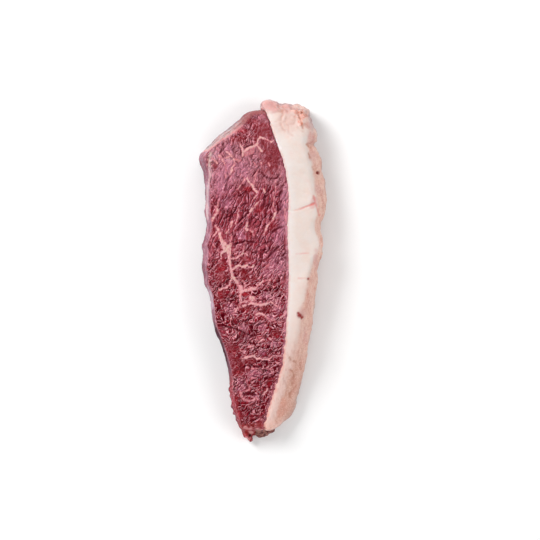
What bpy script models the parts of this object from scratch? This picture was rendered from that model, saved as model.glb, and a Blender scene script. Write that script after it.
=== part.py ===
"""A raw picanha steak: one long slice of lean rump-cap muscle with its thick fat cap down one long side.

Metres, +Z up. +Y runs to the wide end of the slice, +X to the fat cap. The slice lies on a cut face at z = 0.
Run with: blender --background --python part.py
"""

from math import cos, pi, sin, sqrt

import bmesh
import bpy
from mathutils import Vector

MM = 0.001

# Driving dimensions, in millimetres.
THICKNESS = 25.0        # between the two cut faces, at the middle of the slice
TIP_THICKNESS = 17.0    # at the narrow end, where the slice thins
TAG_THICKNESS = 7.0     # of the ragged tag and flap past the narrow end of the fat
FLAP_REACH = 4.6        # of the flap across the end of the fat, from the line of the seam
SEAM_GAP = 0.3          # between muscle and fat, which the membrane fills
STATION_STEP = 2.8      # between cross-sections along the slice
END_ROUNDING = 4.0      # how far from each end the slice starts to round off

# Outlines seen from above, as (y, x) knots from the wide end to the narrow end, with smooth curves between them.
MUSCLE_EDGE = [
    (92.5, -3.4), (90.2, -9.6), (87.0, -13.4), (80.5, -20.6), (77.0, -26.2), (73.5, -29.0), (67.0, -35.0),
    (63.5, -36.4), (60.5, -35.4), (53.0, -33.4), (40.5, -32.3), (32.5, -32.8), (25.5, -31.6), (19.0, -32.6),
    (14.5, -34.4), (8.0, -33.4), (3.0, -34.6), (-2.5, -33.8), (-8.0, -33.0), (-12.5, -30.4), (-28.0, -28.3),
    (-36.0, -25.9), (-46.5, -22.0), (-57.0, -19.6), (-77.0, -17.4), (-84.0, -15.0), (-92.0, -12.2),
    (-95.5, -11.0), (-97.5, -7.5),
]
SEAM = [
    (97.0, -1.8), (92.0, 0.2), (86.0, 3.0), (76.0, 6.2), (64.0, 10.5), (52.0, 13.3), (37.5, 14.5),
    (23.5, 13.8), (0.5, 14.5), (-29.0, 13.4), (-52.0, 11.0), (-65.0, 7.2), (-78.0, 3.2), (-87.5, 0.9),
    (-92.0, 0.6),
]
FAT_EDGE = [
    (96.5, 8.0), (94.5, 18.5), (92.5, 25.6), (88.0, 27.0), (82.0, 28.9), (77.0, 30.4), (70.5, 30.1),
    (66.0, 32.3), (60.0, 33.7), (52.0, 35.1), (40.0, 36.2), (33.0, 35.8), (28.5, 34.4), (25.0, 32.3),
    (22.0, 32.7), (18.0, 34.4),
    (11.0, 34.4), (4.5, 32.2), (-10.5, 30.0), (-24.0, 28.8), (-39.5, 26.0), (-56.0, 23.7), (-64.0, 21.7),
    (-74.0, 19.2), (-79.0, 17.6), (-84.5, 14.0), (-88.0, 10.2), (-91.0, 5.5),
]
# How far the upper cut face stops short of the outline, as (y, inset) knots: the outer side of the fat leans out.
MUSCLE_INSET = [
    (92.0, 4.5), (70.0, 5.0), (60.0, 3.4), (10.0, 3.4), (-20.0, 2.2), (-70.0, 2.0), (-97.5, 1.5),
]
FAT_INSET = [
    (96.5, 2.0), (76.0, 4.5), (60.0, 6.0), (50.0, 6.8), (32.0, 4.6), (15.0, 2.4), (5.0, 3.4), (-11.0, 4.6),
    (-23.5, 6.8), (-39.5, 6.4), (-54.0, 8.8), (-74.0, 10.2), (-85.0, 9.0), (-91.0, 3.0),
]
FOOT_INSET = 2.4        # how far the underside stops short of the outline
FOOT_SHARE = 0.35       # of the width, the most that the foot may be inset
SHOULDER_SHARE = 0.7    # of the width, the most that the upper edge may be inset
WIDEST_HEIGHT = 0.38    # of the thickness, where the sides stand out most
SIDE_CURVE = 1.5        # power of the curve from there up to the shoulder
SHOULDER_HEIGHT = 0.93  # of the thickness, where the side turns into the upper cut face
MUSCLE_CROWN = 6.0      # how soon the cut face is level, as 1 over the share of its width that it takes
FAT_CROWN = 6.0         # the same for the fat
NARROW_CROWN = 1.8      # the same for the fat's narrow half, which is rounded off
SEAM_DIP = 0.2          # how far both pieces dip where they meet
SEAM_FLAT = 6.0         # how far from the seam the lobes start
END_LIFT = 0.25         # of the thickness, how far the underside rises at the very ends
END_HEIGHT = 0.6        # of the thickness, where the top comes down to at the very ends
END_CROWDING = 0.55     # how much closer the cross-sections stand at the two ends

# Where the slice thins, as (y where it starts, length over which it happens).
WIDE_THINNING = (70.0, 25.0)
NARROW_THINNING = (-30.0, -55.0)
TAG_THINNING = (-88.0, -5.0)
FLAP_START = (-90.9, -1.2)
NARROW_ROUNDING = (-30.0, -25.0)
WIDE_LOSS = 3.0         # how much thinner the slice is at the wide end

# The lobes of the cut faces, as (height, x length, y length), each length taking one radian of the wave.
# The broad ones also swell and fade along the slice: their last two numbers are that length and its phase.
BROAD_LOBES = (0.7, 6.5, 17.0, 12.0, 0.4)
SMALL_LOBES = (0.45, 3.7, 8.5)
SMALL_LOBES_PHASE = 1.0
LONG_LOBES = (0.5, 30.0, 23.0)
FAT_ROLLS = (0.45, 9.0, 15.0)
FAT_RIPPLES = (0.25, 5.0, 6.5)

MUSCLE_ENDS = (91.6, -97.4)
FAT_ENDS = (96.8, -90.6)
TOP_STRIPS = 11         # across the upper cut face
SIDE_STRIPS = 7         # up an outer side
WALL_STRIPS = 3         # up the wall along the seam
SHARP_ANGLE = 0.9       # radians between two faces, past which their edge isn't shaded smooth
FLOOR_STRIPS = 4        # across the underside


def along(knots, y):
    """The smooth curve through knots sorted from +Y to -Y, at y."""
    if y >= knots[0][0]:
        return knots[0][1]
    if y <= knots[-1][0]:
        return knots[-1][1]
    i = next(i for i in range(len(knots) - 1) if knots[i + 1][0] <= y)

    def slope(k):
        before = knots[max(k - 1, 0)]
        after = knots[min(k + 1, len(knots) - 1)]
        return (after[1] - before[1]) / (after[0] - before[0])

    (y0, x0), (y1, x1) = knots[i], knots[i + 1]
    span = y1 - y0
    t = (y - y0) / span
    return (
        x0 * (1 + 2 * t) * (1 - t) ** 2
        + x1 * t * t * (3 - 2 * t)
        + span * (slope(i) * t * (1 - t) ** 2 - slope(i + 1) * t * t * (1 - t))
    )


def ease(t):
    t = min(max(t, 0.0), 1.0)
    return t * t * (3 - 2 * t)


def past(y, start_and_length):
    """0 before a stretch of the slice, rising smoothly to 1 at its end."""
    start, length = start_and_length
    return ease((y - start) / length)


def thickness(y):
    """Full in the middle, a little less at the wide end, and thinning over the last third to the tip."""
    slice_height = THICKNESS - WIDE_LOSS * past(y, WIDE_THINNING)
    slice_height += (TIP_THICKNESS - THICKNESS) * past(y, NARROW_THINNING)
    return slice_height + (TAG_THICKNESS - TIP_THICKNESS) * past(y, TAG_THINNING)


def end_roundness(y, ends):
    """1 along the slice, falling to 0 on a quarter circle at each end."""
    distance = min(ends[0] - y, y - ends[1]) / END_ROUNDING
    return sqrt(1 - (1 - min(max(distance, 0.0), 1.0)) ** 2)


def muscle_wall(y):
    """The muscle ends at the seam, and past the end of the fat its flap reaches across."""
    return along(SEAM, y) - SEAM_GAP / 2 + FLAP_REACH * past(y, FLAP_START)


def fat_wall(y):
    return along(SEAM, y) + SEAM_GAP / 2


def muscle_swell(x, y):
    """Soft lobes where the muscle bulges from the cut, in millimetres."""
    height, across, down, beat, phase = BROAD_LOBES
    lobes = height * sin(x / across + y / down) * cos(y / beat - phase)
    height, across, down = SMALL_LOBES
    lobes += height * sin(x / across - y / down + SMALL_LOBES_PHASE)
    height, across, down = LONG_LOBES
    return lobes + height * cos(y / down + x / across)


def fat_swell(x, y):
    """The fat is firmer, so its cut face only rolls a little."""
    height, across, down = FAT_ROLLS
    rolls = height * sin(y / down + x / across)
    height, across, down = FAT_RIPPLES
    return rolls + height * cos(y / down - x / across)


def muscle_crown(y):
    return MUSCLE_CROWN


def fat_crown(y):
    return FAT_CROWN + (NARROW_CROWN - FAT_CROWN) * past(y, NARROW_ROUNDING)


def strips(count):
    """Fractions from 0 up to, and without, 1."""
    return [i / count for i in range(count)]


def section(y, outer, seam, inset, swell, crown, roundness):
    """A closed cross-section as (x, z) points: the floor, up the outer side, over the top, down the wall."""
    floor = END_LIFT * thickness(y) * (1 - roundness)
    height = thickness(y) * (END_HEIGHT + (1 - END_HEIGHT) * roundness) - floor
    side = 1.0 if outer > seam else -1.0
    width = abs(outer - seam)
    foot = min(FOOT_INSET, FOOT_SHARE * width)
    shoulder = min(inset, SHOULDER_SHARE * width)
    widest = WIDEST_HEIGHT * height
    shoulder_height = SHOULDER_HEIGHT * height
    points = [(seam + side * (width - foot) * t, 0.0) for t in strips(FLOOR_STRIPS)]
    for t in strips(SIDE_STRIPS):
        z = shoulder_height * t
        if z < widest:
            x = width - foot * (1 - sqrt(1 - (1 - z / widest) ** 2))
        else:
            x = width - shoulder * ((z - widest) / (shoulder_height - widest)) ** SIDE_CURVE
        points.append((seam + side * x, z))
    for t in strips(TOP_STRIPS):
        reach = (width - shoulder) * (1 - t)
        x = seam + side * reach
        level = shoulder_height + (height - shoulder_height) * ease(crown * t)
        from_seam = ease(reach / SEAM_FLAT)
        points.append((x, level + swell(x, y) * ease(crown * t) * from_seam - SEAM_DIP * (1 - from_seam)))
    points += [(seam, (height - SEAM_DIP) * (1 - t)) for t in strips(WALL_STRIPS)]
    return [(x, z + floor) for x, z in points]


def slice_body(name, ends, edge_knots, inset_knots, wall, swell, crown, material):
    """Skins cross-sections along the slice and closes both ends."""
    first, last = ends
    count = round((first - last) / STATION_STEP)
    mesh = bpy.data.meshes.new(name)
    bm = bmesh.new()
    rings = []
    for i in range(count + 1):
        # Stations crowd together towards the two ends, where the outline turns.
        t = i / count
        y = first + (last - first) * (t - END_CROWDING * sin(2 * pi * t) / (2 * pi))
        outer = along(edge_knots, y)
        inset = along(inset_knots, y)
        points = section(y, outer, wall(y), inset, swell, crown(y), end_roundness(y, ends))
        rings.append([bm.verts.new(Vector((x, y, z)) * MM) for x, z in points])
    for ring, following in zip(rings, rings[1:]):
        for k in range(len(ring)):
            after = (k + 1) % len(ring)
            bm.faces.new((ring[k], ring[after], following[after], following[k]))
    for ring in (rings[0], rings[-1]):
        bm.faces.new(ring)
    bmesh.ops.triangulate(bm, faces=[face for face in bm.faces if len(face.verts) > 4])
    bmesh.ops.recalc_face_normals(bm, faces=bm.faces)
    bm.to_mesh(mesh)
    bm.free()
    mesh.shade_smooth()
    mesh.set_sharp_from_angle(angle=SHARP_ANGLE)
    mesh.materials.append(material)
    piece = bpy.data.objects.new(name, mesh)
    bpy.context.collection.objects.link(piece)
    return piece


def finish(name, colour, roughness):
    material = bpy.data.materials.new(name)
    material.use_nodes = True
    shader = material.node_tree.nodes["Principled BSDF"]
    shader.inputs["Base Color"].default_value = (*colour, 1.0)
    shader.inputs["Roughness"].default_value = roughness
    shader.inputs["Metallic"].default_value = 0.0
    return material


def centre(pieces):
    """Puts the origin under the middle of the whole slice's box."""
    points = [vertex.co for piece in pieces for vertex in piece.data.vertices]
    middle = Vector((0.0, 0.0, 0.0))
    for axis in (0, 1):
        values = [point[axis] for point in points]
        middle[axis] = (min(values) + max(values)) / 2
    for piece in pieces:
        for vertex in piece.data.vertices:
            vertex.co -= middle


for old in list(bpy.data.objects):
    bpy.data.objects.remove(old, do_unlink=True)

raw_lean = finish("raw_lean", (0.30, 0.07, 0.09), 0.35)
raw_fat = finish("raw_fat", (0.80, 0.68, 0.60), 0.45)
lean = slice_body(
    "lean", MUSCLE_ENDS, MUSCLE_EDGE, MUSCLE_INSET, muscle_wall, muscle_swell, muscle_crown, raw_lean
)
fat_cap = slice_body(
    "fat_cap", FAT_ENDS, FAT_EDGE, FAT_INSET, fat_wall, fat_swell, fat_crown, raw_fat
)
centre([lean, fat_cap])
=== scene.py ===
"""A raw picanha steak, lying with one cut face up: lean muscle with its marbling, and the thick fat cap along
one side.

Lengths are in millimetres, measured from the middle of the slice, and MM turns them into the scene's metres.
"""

from contextlib import contextmanager

import bpy
import numpy as np
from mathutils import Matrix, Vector, noise
from mathutils.bvhtree import BVHTree


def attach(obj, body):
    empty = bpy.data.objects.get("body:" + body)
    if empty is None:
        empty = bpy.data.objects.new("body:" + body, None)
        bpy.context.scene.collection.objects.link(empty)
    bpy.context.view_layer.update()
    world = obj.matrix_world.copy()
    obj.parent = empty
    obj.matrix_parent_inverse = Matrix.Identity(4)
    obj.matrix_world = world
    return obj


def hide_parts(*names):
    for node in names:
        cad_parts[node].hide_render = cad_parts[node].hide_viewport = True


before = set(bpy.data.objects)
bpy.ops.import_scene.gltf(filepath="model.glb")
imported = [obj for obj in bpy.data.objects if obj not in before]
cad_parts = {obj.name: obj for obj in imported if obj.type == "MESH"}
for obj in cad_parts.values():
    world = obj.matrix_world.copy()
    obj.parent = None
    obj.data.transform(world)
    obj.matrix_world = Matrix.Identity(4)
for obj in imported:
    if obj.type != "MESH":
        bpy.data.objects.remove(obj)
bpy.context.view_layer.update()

MM = 0.001
WELD = 0.01  # points closer than this are one
LOWEST = 0.02  # how high the underside stays above the floor

# Bundles of fibre on the cut face, as (length, width, depth) and a seed: long ones, then the short ones of
# the narrow half, the fine ones within both, and the thick hanks that all of them are gathered in.
STROKES = ((5.2, 1.7, 4.6), 0.0)
COBBLES = ((2.7, 1.75, 2.7), 31.0)
THREADS = ((2.2, 0.85, 1.6), 83.0)
HANKS = ((10.0, 5.5, 9.0), 57.0)
# The same for the grains of the fat, and for the crumbs that it breaks into at the wide end.
LOBULES = ((4.2, 4.2, 4.2), 11.0)
CRUMBS = ((5.0, 5.0, 5.0), 71.0)
FAINT_ENDS = 0.10  # how much further off the walls at a bundle's two ends count
# The fibres' angle across the slice in degrees, at the wide end and at the narrow one, and the hollow where
# they turn aside.
STEEPEST = 66
FLATTEST = 46
HOLLOW = (-20, -37)
HOLLOW_RADIUS = 10
HOLLOW_TURN = 52

# ---- Where things lie on the slice, seen from above with the wide end at +Y and the fat at +X ----

# Streaks of fat between the muscle's bundles: (width, strength, the points that it runs through).
MARBLING = [
    # The main vein down the left of the slice, broadest where it forks.
    (1.4, 0.8, (-26.2, 25.4), (-24.3, 21.9), (-23.1, 18.5)),
    (1.7, 0.8, (-23.3, 19.1), (-22.2, 15.5)),
    (3.1, 0.83, (-21.5, 15.0), (-20.4, 12.5), (-19.1, 11.0)),
    (2.0, 0.78, (-18.6, 14.2), (-18.4, 11.6), (-18.5, 8.7)),
    (1.5, 0.83, (-18.9, 10.1), (-18.1, 4.8), (-17.6, 1.3), (-16.6, -2.1)),
    (0.8, 0.5, (-17.2, 21.4), (-17.7, 18.5), (-17.8, 13.6)),
    (1.8, 0.78, (-16.8, -3.3), (-14.9, -5.3), (-13.3, -8.0), (-11.7, -10.9)),
    (2.6, 0.78, (-12.3, -9.5), (-11.5, -11.1)),
    (1.2, 0.62, (-11.8, -11.4), (-12.4, -13.8), (-11.6, -16.4), (-12.5, -18.6), (-12.5, -20.2)),
    # Its twigs.
    (0.8, 0.8, (-21.0, 11.2), (-23.0, 10.0), (-23.2, 7.0)),
    (0.64, 0.5, (-23.0, 10.0), (-24.8, 11.0), (-27.0, 14.6)),
    (0.88, 0.55, (-25.3, 22.4), (-27.4, 19.5)),
    (0.9, 0.8, (-16.6, 28.0), (-17.3, 25.2), (-18.4, 23.4), (-20.3, 21.2)),
    (1.0, 0.75, (-17.4, 6.8), (-14.6, 7.1), (-12.7, 8.5), (-11.0, 9.9)),
    (0.72, 0.5, (-11.0, 9.9), (-10.3, 13.6), (-9.3, 16.0)),
    (0.8, 0.7, (-9.4, 9.6), (-8.4, 8.9)),
    (1.0, 0.95, (-16.7, 0.8), (-15.0, 1.8), (-13.8, 3.1), (-12.3, 3.3), (-11.3, 2.2), (-10.0, 2.2),
        (-8.7, 3.1), (-7.3, 2.3), (-6.0, 1.9), (-4.9, 3.0)),
    (0.96, 0.75, (-16.9, -3.6), (-17.8, -6.2), (-18.4, -7.8), (-19.7, -9.0), (-22.0, -9.5),
        (-23.8, -10.8)),
    (0.72, 0.6, (-13.5, -4.2), (-10.9, -5.4), (-9.7, -7.5), (-10.1, -9.3)),
    (1.6, 0.8, (-11.7, -10.9), (-8.8, -10.7), (-5.8, -10.0), (-4.1, -9.9)),
    (0.96, 0.75, (-4.1, -9.9), (-2.9, -8.4), (-1.4, -7.0), (0.4, -5.8)),
    (0.72, 0.45, (0.4, -5.8), (3.5, -5.0), (5.4, -4.0), (7.4, -3.5)),
    (0.9, 0.55, (4.4, -5.0), (3.0, -6.8), (2.4, -9.2)),
    (0.72, 0.6, (-3.7, -0.5), (-4.4, -2.1)),
    # The lower net.
    (1.5, 0.6, (-11.2, -17.2), (-7.8, -16.7), (-4.8, -16.0)),
    (2.6, 0.65, (-6.6, -14.8), (-4.4, -15.6)),
    (1.1, 0.95, (-10.9, -19.3), (-8.3, -18.9), (-6.2, -17.7), (-3.5, -18.7), (-0.9, -19.1), (2.4, -18.2),
        (4.6, -17.0)),
    (0.92, 0.85, (4.6, -17.0), (6.1, -18.1), (8.5, -20.0)),
    (0.83, 0.85, (-13.7, -20.3), (-15.4, -23.3), (-17.5, -26.8)),
    (1.01, 0.9, (-3.5, -24.3), (-1.9, -23.6), (0.1, -24.0), (1.8, -25.2)),
    (0.8, 0.4, (-3.1, -20.7), (-4.2, -23.0), (-3.9, -26.6)),
    (0.9, 0.5, (2.6, -26.0), (4.6, -27.0), (8.1, -28.1)),
    (0.92, 0.75, (10.2, -25.8), (12.2, -24.6), (13.6, -22.5)),
    (0.83, 0.65, (-2.3, -40.0), (0.6, -38.2)),
    (0.83, 0.7, (3.6, -37.3), (4.8, -38.5)),
    (0.8, 0.6, (-12.9, -42.7), (-12.0, -44.9), (-10.6, -44.8)),
    (0.74, 0.65, (-6.8, -42.6), (-5.1, -41.9)),
    (1.01, 0.95, (-11.6, -49.2), (-7.8, -48.2), (-4.9, -47.3), (-3.5, -48.8), (0.0, -49.3), (3.6, -49.5)),
    (0.92, 0.65, (4.6, -48.6), (5.9, -47.4), (11.4, -47.6)),
    (0.92, 0.65, (7.5, -50.7), (9.5, -52.4)),
    (0.83, 0.6, (1.0, -54.6), (4.5, -55.2), (6.1, -58.1)),
    (0.83, 0.55, (-9.2, -56.7), (-6.3, -54.9), (-3.3, -54.8)),
    (0.8, 0.35, (-9.0, -60.8), (-7.9, -65.4)),
    (1.4, 0.55, (-12.4, -68.9), (-11.7, -70.7), (-10.1, -72.4), (-7.9, -73.0), (-4.9, -72.5),
        (-3.3, -71.6)),
    (0.9, 0.55, (-12.5, -68.5), (-9.3, -67.2), (-7.3, -66.6)),
    (0.92, 0.8, (3.0, -66.1), (2.0, -67.9), (0.7, -69.4)),
    (0.7, 0.3, (-1.9, -70.2), (-2.2, -75.6)),
    (1.9, 0.62, (-10.0, -88.2), (-7.9, -89.2), (-6.6, -89.0)),
    (1.5, 0.8, (-7.2, -91.4), (-5.9, -92.4)),
    (1.2, 0.7, (-9.5, -94.9), (-7.7, -96.7), (-6.7, -95.3)),
    (1.1, 0.85, (-3.4, -89.3), (-1.4, -90.0), (0.5, -89.8)),
    # The wide end.
    (0.88, 0.9, (-12.3, 70.6), (-11.2, 68.6), (-10.7, 66.3), (-11.0, 64.4)),
    (3.6, 0.36, (-9.0, 65.8), (-6.0, 67.2)),
    (1.5, 0.85, (-10.5, 67.0), (-8.3, 68.2), (-6.4, 69.2)),
    (1.1, 0.9, (-8.2, 68.4), (-3.3, 70.5)),
    (1.0, 0.85, (-3.7, 70.7), (-1.5, 68.7), (-0.2, 66.9)),
    (0.96, 0.85, (-2.8, 70.9), (-2.4, 73.7), (-0.9, 75.0), (1.6, 74.0)),
    (0.8, 0.7, (1.6, 74.0), (5.2, 72.0), (6.7, 73.3)),
    (1.5, 0.7, (-19.8, 66.6), (-18.4, 65.2), (-17.0, 64.3)),
    (0.9, 0.6, (-20.1, 63.0), (-18.4, 64.1)),
    (1.5, 0.75, (-24.1, 64.6), (-22.6, 62.7)),
    (0.96, 0.7, (-23.7, 64.2), (-22.3, 62.2), (-20.9, 60.1)),
    (0.72, 0.45, (-20.7, 60.1), (-20.1, 56.1)),
    (0.96, 0.7, (-17.0, 64.3), (-15.6, 61.6), (-15.3, 60.0), (-16.6, 57.9), (-17.1, 55.9), (-18.2, 54.0)),
    (2.0, 0.4, (-15.2, 62.4), (-12.4, 61.7)),
    (2.2, 0.3, (-16.6, 56.4), (-18.0, 53.8)),
    (0.9, 0.7, (-28.2, 63.0), (-26.4, 61.6), (-25.2, 60.3)),
    (0.64, 0.45, (-25.7, 70.1), (-25.1, 67.9)),
    (0.72, 0.5, (-12.3, 80.3), (-10.3, 77.7), (-8.8, 75.3)),
    (0.72, 0.4, (-17.4, 73.9), (-17.0, 70.6)),
    (0.64, 0.5, (-4.1, 84.0), (-3.1, 82.0)),
    (0.64, 0.5, (3.0, 82.3), (3.6, 80.7)),
    (0.72, 0.5, (-4.9, 61.1), (-3.8, 59.1)),
    (0.64, 0.5, (3.4, 60.4), (4.4, 58.5)),
    (0.64, 0.5, (-0.6, 60.5), (-0.5, 58.7)),
    (0.72, 0.5, (11.0, 58.7), (10.6, 55.1), (10.1, 52.6)),
    # The middle.
    (0.72, 0.5, (-2.1, 56.7), (-3.9, 54.2), (-4.9, 52.8)),
    (0.64, 0.45, (-3.3, 54.4), (-4.4, 50.5), (-4.7, 49.1)),
    (0.96, 0.9, (-8.6, 51.8), (-7.0, 49.3), (-5.3, 47.9), (-4.3, 45.4), (-2.9, 44.2)),
    (0.8, 0.7, (-2.9, 44.2), (-3.7, 42.2), (-4.8, 40.3)),
    (0.8, 0.6, (-10.0, 51.2), (-11.5, 48.9), (-12.9, 46.8)),
    (0.72, 0.7, (0.4, 46.3), (1.4, 44.0)),
    (0.72, 0.55, (7.4, 50.0), (7.4, 46.3), (6.9, 42.4), (6.1, 39.1), (6.2, 36.1), (7.1, 33.8)),
    (1.0, 0.95, (-1.1, 39.3), (-3.4, 37.5), (-4.6, 35.7), (-7.0, 33.0)),
    (1.7, 0.8, (-5.8, 34.4), (-6.8, 33.4)),
    (0.8, 0.6, (-8.0, 31.6), (-8.6, 29.2)),
    (0.72, 0.5, (-14.8, 45.4), (-13.3, 46.0), (-11.9, 44.0)),
    (1.0, 0.85, (7.9, 33.4), (6.5, 30.3), (5.7, 28.3), (3.3, 25.7), (1.8, 22.8), (0.6, 19.7)),
    (0.8, 0.8, (-8.3, 26.9), (-8.7, 24.6)),
    (1.8, 0.75, (-8.9, 23.7), (-8.4, 23.1)),
    (0.72, 0.7, (-8.6, 23.6), (-7.2, 22.9), (-5.6, 21.9), (-4.6, 19.9)),
    (0.8, 0.65, (-13.3, 34.6), (-13.5, 31.8), (-14.2, 29.0), (-14.9, 27.0)),
    (0.64, 0.4, (-10.3, 29.2), (-12.3, 26.9)),
    (1.3, 0.75, (-25.3, 34.8), (-25.6, 32.6), (-26.9, 30.4), (-28.6, 28.8), (-30.2, 27.2)),
    (2.4, 0.6, (-28.2, 28.9), (-30.2, 27.2)),
    (0.8, 0.5, (-25.3, 34.8), (-24.7, 37.0), (-24.3, 39.2)),
    (0.9, 0.5, (-25.7, 35.0), (-27.1, 36.6), (-28.2, 38.4)),
    (1.1, 0.5, (12.8, 35.2), (12.6, 30.8), (13.6, 28.5)),
    (0.72, 0.5, (-24.2, 56.7), (-23.8, 55.6)),
    (0.72, 0.5, (-12.3, 54.4), (-11.9, 53.2)),
    (0.72, 0.5, (-20.5, 53.9), (-20.3, 51.8)),
    (0.96, 0.4, (-29.0, 17.1), (-25.8, 12.2)),
    (0.8, 0.4, (-30.7, 11.7), (-28.4, 7.7)),
]
# Splits where bundles part, darkened right down with painted shade: (width, depth, the points that it runs
# through).
SPLITS = [
    (1.0, 1.1, (-2.2, 56.3), (-4.4, 54.8), (-5.7, 53.0)),
    (1.0, 0.85, (-0.5, 55.0), (1.5, 52.9), (4.0, 51.7), (7.4, 51.7), (9.1, 52.6)),
    (0.9, 0.9, (-18.8, 52.0), (-20.2, 47.4), (-21.1, 45.2)),
    (0.8, 0.8, (-21.7, 71.7), (-22.3, 69.5), (-23.7, 66.3)),
    (1.2, 1.0, (-9.6, 68.8), (-8.2, 69.5), (-5.4, 70.4)),
    (0.9, 0.8, (-11.6, 68.6), (-11.9, 64.3)),
    (1.0, 0.8, (-15.6, 70.0), (-16.2, 66.1)),
    (0.9, 0.8, (-15.0, 42.6), (-16.6, 41.0), (-18.2, 38.9)),
    (0.8, 0.6, (-23.2, 39.6), (-24.5, 36.5)),
    (0.9, 0.9, (-18.0, 35.3), (-19.3, 32.7), (-20.1, 30.2), (-21.7, 29.1)),
    (1.0, 1.0, (-14.4, 35.5), (-16.1, 32.7), (-17.6, 30.2), (-18.2, 28.5)),
    (0.9, 0.8, (-8.4, 37.9), (-10.2, 37.4), (-11.9, 36.4)),
    (1.1, 1.1, (-6.7, 34.4), (-8.8, 31.7), (-10.7, 29.7), (-12.9, 27.7)),
    (1.0, 1.0, (-11.1, 26.5), (-13.1, 24.0), (-13.8, 22.6)),
    (0.9, 0.8, (-5.8, 45.8), (-5.6, 41.8)),
    (0.9, 0.8, (-9.0, 44.4), (-7.4, 40.7)),
    (0.9, 0.7, (8.3, 40.5), (9.9, 42.0), (11.4, 44.2)),
    (0.9, 0.8, (8.3, 34.0), (10.3, 34.7), (11.6, 37.3)),
    (0.8, 0.7, (9.7, 36.5), (10.8, 39.3)),
    (0.9, 0.9, (5.5, 21.6), (7.9, 23.4), (10.3, 24.4), (12.2, 25.0)),
    (1.0, 1.0, (-15.4, 15.0), (-12.2, 16.0), (-9.7, 16.7), (-6.8, 16.2), (-3.1, 15.9)),
    (0.9, 0.8, (-9.9, 11.4), (-7.0, 11.6)),
    (0.9, 0.8, (-6.0, 10.1), (-2.5, 10.6)),
    (1.0, 0.9, (2.2, 15.8), (4.6, 16.8), (6.3, 18.5)),
    (1.1, 1.1, (3.3, 7.7), (5.9, 10.6), (8.9, 13.6)),
    (0.8, 0.7, (-0.9, 11.8), (3.0, 12.2), (5.5, 11.6)),
    (2.4, 0.9, (-16.6, 5.4), (-15.0, 4.4)),
    (1.1, 0.9, (-16.8, 8.6), (-15.8, 8.1)),
    (1.1, 1.0, (-10.9, 3.6), (-10.1, 3.0)),
    (1.1, 1.0, (-7.6, 3.6), (-6.6, 3.2)),
    (1.2, 1.0, (-18.9, -4.8), (-20.1, -6.6)),
    (1.2, 1.0, (-21.3, -6.9), (-21.6, -8.5)),
    (1.1, 1.0, (-23.5, -7.0), (-23.3, -9.5)),
    (1.1, 1.0, (-15.6, -8.0), (-13.9, -9.5)),
    (1.0, 0.9, (-15.8, -0.9), (-14.5, -3.0)),
    (1.0, 0.9, (-10.6, -7.2), (-10.6, -8.2)),
    (0.9, 0.9, (-20.3, -13.3), (-14.6, -14.0)),
    (0.9, 0.9, (-19.7, -15.2), (-17.8, -16.8), (-15.4, -16.4)),
    (0.9, 0.8, (2.8, -20.7), (0.8, -23.2)),
    (1.1, 1.1, (-21.7, -30.4), (-18.6, -31.5), (-14.7, -32.3), (-12.2, -33.4), (-9.7, -34.9),
        (-5.8, -36.4)),
    (1.6, 0.8, (-6.2, -30.5), (-5.4, -33.4), (-4.3, -36.0)),
    (0.9, 0.9, (-14.1, -28.4), (-9.3, -27.7), (-6.8, -25.2)),
    (1.0, 0.9, (0.4, -28.9), (-2.4, -30.0), (-3.1, -32.7)),
    (1.1, 0.9, (-13.1, -36.2), (-14.4, -39.0)),
    (1.0, 0.9, (-6.0, -40.2), (-3.7, -44.5)),
    (0.9, 0.9, (4.0, -42.3), (5.0, -45.0), (8.9, -45.3), (11.0, -43.7)),
    (1.1, 1.0, (-6.3, -52.9), (-2.5, -54.0), (0.4, -52.6)),
    (1.0, 0.9, (0.6, -55.6), (4.6, -56.4)),
    (1.0, 0.9, (6.3, -59.4), (1.6, -60.8)),
    (1.0, 0.9, (-4.9, -58.8), (-2.5, -60.2)),
    (1.8, 1.0, (-10.4, -69.6), (-7.5, -69.0), (-4.6, -69.4)),
    (1.0, 0.9, (-10.0, -63.7), (-7.8, -66.0)),
    (1.0, 0.9, (-8.7, -77.4), (-6.5, -81.8)),
    (1.4, 1.0, (-7.4, -93.2), (-7.0, -93.8)),
]
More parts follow.
